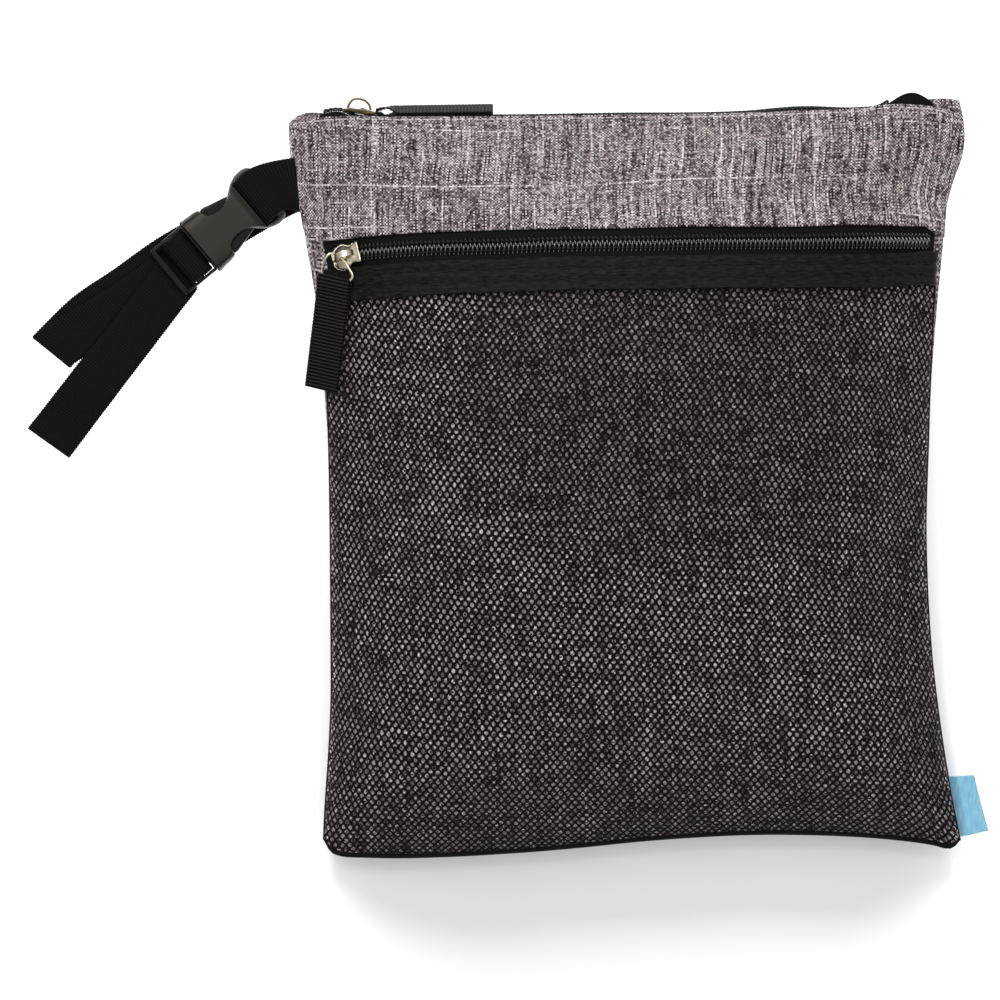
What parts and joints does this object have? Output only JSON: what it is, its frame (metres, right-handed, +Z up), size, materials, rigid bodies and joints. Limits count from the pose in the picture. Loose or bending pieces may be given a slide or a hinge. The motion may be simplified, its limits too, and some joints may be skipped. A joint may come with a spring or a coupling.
{
  "type": "wet dry bag",
  "caption": "Soft zipped wet and dry bag lying on its back, with a net pocket over its front under a second zip, and a webbing wrist strap with a side release buckle.",
  "frame": {"origin": "On the flat of the back panel that the bag lies on, under the middle of the bag.", "axes": "+Z up, out of the front with the net pocket; +Y from the bottom seam to the mouth; +X to the right as the front is looked at, so the strap lies towards -X."},
  "size_m": [0.3906, 0.3125, 0.0603],
  "materials": {
    "heather_cloth": "woven polyester in mixed grey yarns, matt",
    "pocket_net": "black polyester net with small lozenge holes",
    "black_ribbon": "black binding ribbon with rows of topstitching",
    "zip_tape": "black woven zip tape",
    "zip_coil": "black nylon coil, satin",
    "nickel": "nickel plated zinc, polished",
    "webbing": "black ribbed polyester webbing",
    "buckle_plastic": "moulded black acetal, satin",
    "label_cloth": "plain light blue woven satin"
  },
  "bodies": {
    "root": {"back_panel": "heather_cloth", "front_panel": "heather_cloth", "yoke": "heather_cloth", "mesh_pocket": "pocket_net", "pocket_zip_tape": "zip_tape", "pocket_band": "black_ribbon", "pocket_zip_chain": "zip_coil", "pocket_zip_slider": "nickel", "pocket_pull_bail": "nickel", "pocket_pull_tab": "webbing", "top_zip_tape": "zip_tape", "top_zip_chain": "zip_coil", "top_zip_slider": "nickel", "top_pull_bail": "nickel", "top_pull_tab": "webbing", "side_label": "label_cloth", "strap_long": "webbing", "strap_short": "webbing", "buckle_female": "buckle_plastic", "buckle_male": "buckle_plastic"}
  },
  "joints": []
}
